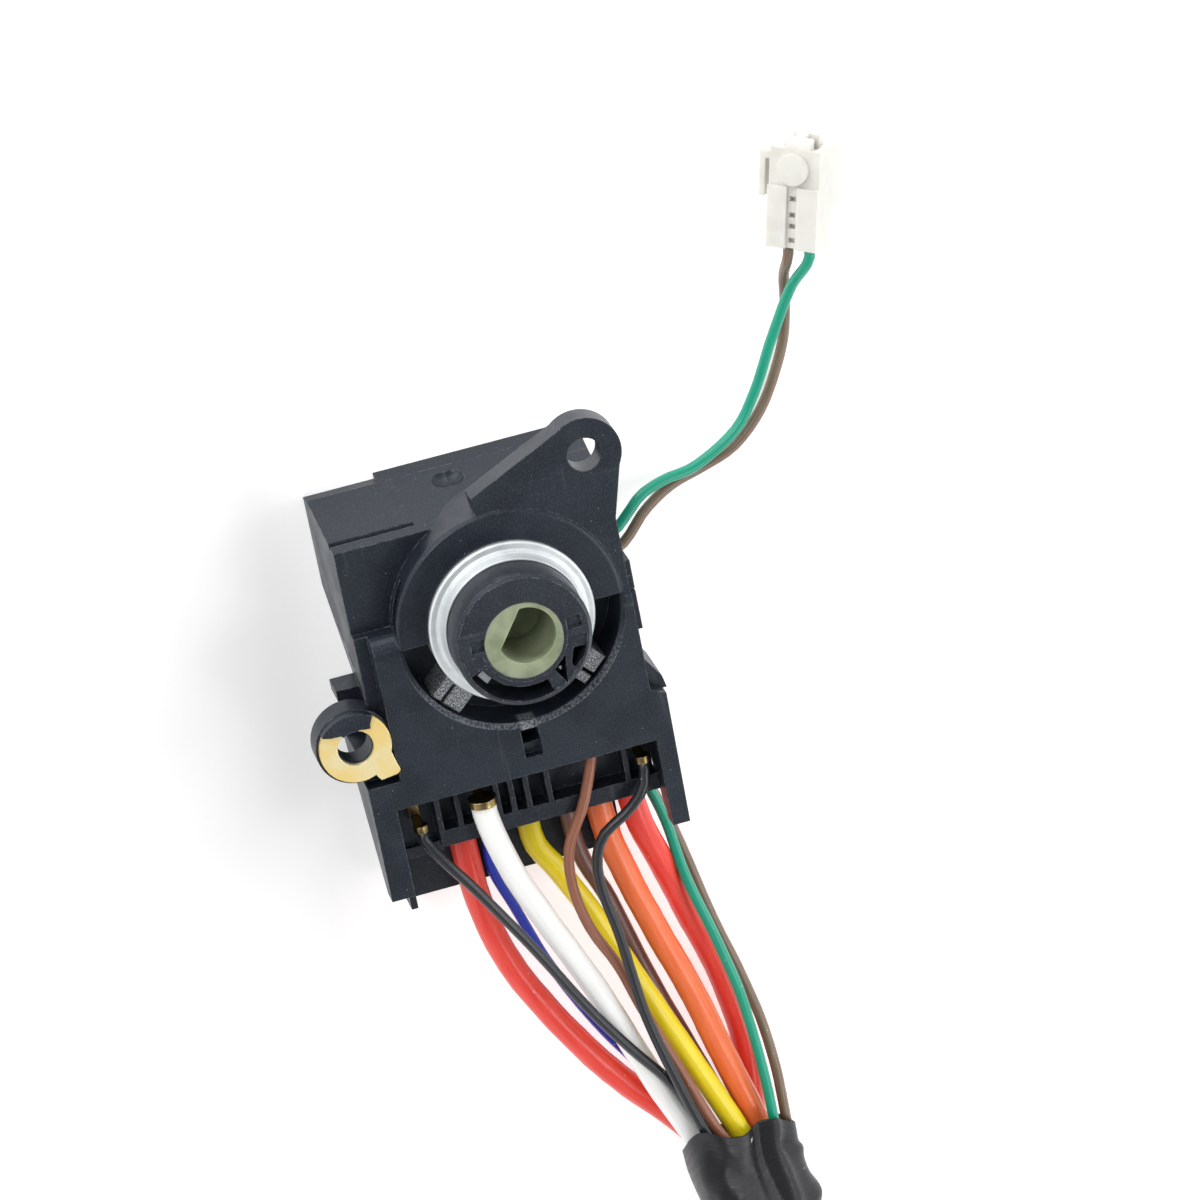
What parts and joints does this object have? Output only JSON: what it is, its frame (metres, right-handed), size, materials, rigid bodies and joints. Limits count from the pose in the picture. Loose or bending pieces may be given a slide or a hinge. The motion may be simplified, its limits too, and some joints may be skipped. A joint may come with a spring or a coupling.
{
  "type": "ignition switch",
  "caption": "Steering-column ignition switch: a key-driven rotor turns sliding contacts in a black moulded housing with screw ears, a fanned wire tail into taped loom, and a small side plug.",
  "frame": {"origin": "on the lock axis at the back face of the rear cover", "axes": "+Z along the lock axis out of the front face, +X to the right and +Y up seen from the front; the wires leave towards -Y"},
  "size_m": [0.1053, 0.28, 0.0283],
  "materials": {
    "housing_black": "satin moulded grain",
    "cover_black": "satin moulded grain",
    "block_black": "satin",
    "rotor_black": "worn satin",
    "plug_black": "satin",
    "base_brown": "matte laminate",
    "carrier_ivory": "matte",
    "nylon_natural": "translucent nylon",
    "plug_white": "translucent nylon",
    "cast_zinc": "bright cast zinc",
    "ring_brass": "plain brass",
    "contact_copper": "copper alloy",
    "terminal_tin": "tinned",
    "spring_steel": "bright wire",
    "tape_black": "wrinkled tape",
    "wire_black": "smooth insulation",
    "wire_red": "smooth insulation",
    "wire_blue": "smooth insulation",
    "wire_white": "smooth insulation",
    "wire_yellow": "smooth insulation",
    "wire_brown": "smooth insulation",
    "wire_dark_brown": "smooth insulation",
    "wire_orange": "smooth insulation",
    "wire_green": "smooth insulation",
    "wire_tan": "smooth insulation"
  },
  "bodies": {
    "housing": {"front_housing": "housing_black", "rear_cover": "cover_black", "lock_sleeve": "cast_zinc", "ground_ring": "ring_brass", "contact_base": "base_brown", "battery_contact": "contact_copper", "start_contact": "contact_copper", "accessory_contact": "contact_copper", "ignition_contact": "contact_copper", "terminal_block": "block_black", "front_terminal_black_left": "terminal_tin", "front_terminal_white": "terminal_tin", "front_terminal_brown": "terminal_tin", "front_terminal_black_right": "terminal_tin", "rear_terminal_red_left": "terminal_tin", "rear_terminal_blue": "terminal_tin", "rear_terminal_yellow": "terminal_tin", "rear_terminal_dark_brown": "terminal_tin", "rear_terminal_orange": "terminal_tin", "rear_terminal_red_right": "terminal_tin", "return_spring": "spring_steel", "detent_spring": "spring_steel", "wire_black_left": "wire_black", "wire_red_left": "wire_red", "wire_blue": "wire_blue", "wire_white": "wire_white", "wire_yellow": "wire_yellow", "wire_brown": "wire_brown", "wire_dark_brown": "wire_dark_brown", "wire_black_right": "wire_black", "wire_orange": "wire_orange", "wire_red_right": "wire_red", "wire_green": "wire_green", "wire_tan": "wire_tan", "harness_trunk": "tape_black", "harness_plug": "plug_black", "harness_contacts": "terminal_tin", "pigtail_green": "wire_green", "pigtail_tan": "wire_tan", "pigtail_plug": "plug_white", "pigtail_contacts": "terminal_tin"},
    "rotor": {"rotor": "rotor_black", "drive_insert": "nylon_natural", "rotor_pin": "spring_steel", "contact_carrier": "carrier_ivory", "bridge_1": "contact_copper", "bridge_2": "contact_copper", "bridge_3": "contact_copper", "bridge_spring_1": "spring_steel", "bridge_spring_2": "spring_steel", "bridge_spring_3": "spring_steel"}
  },
  "joints": [
    {"name": "key_turn", "type": "hinge", "parent": "housing", "child": "rotor", "pos_m": [0, 0, 0.0205], "axis": [0, 0, -1], "range_deg": [-30, 80]}
  ]
}
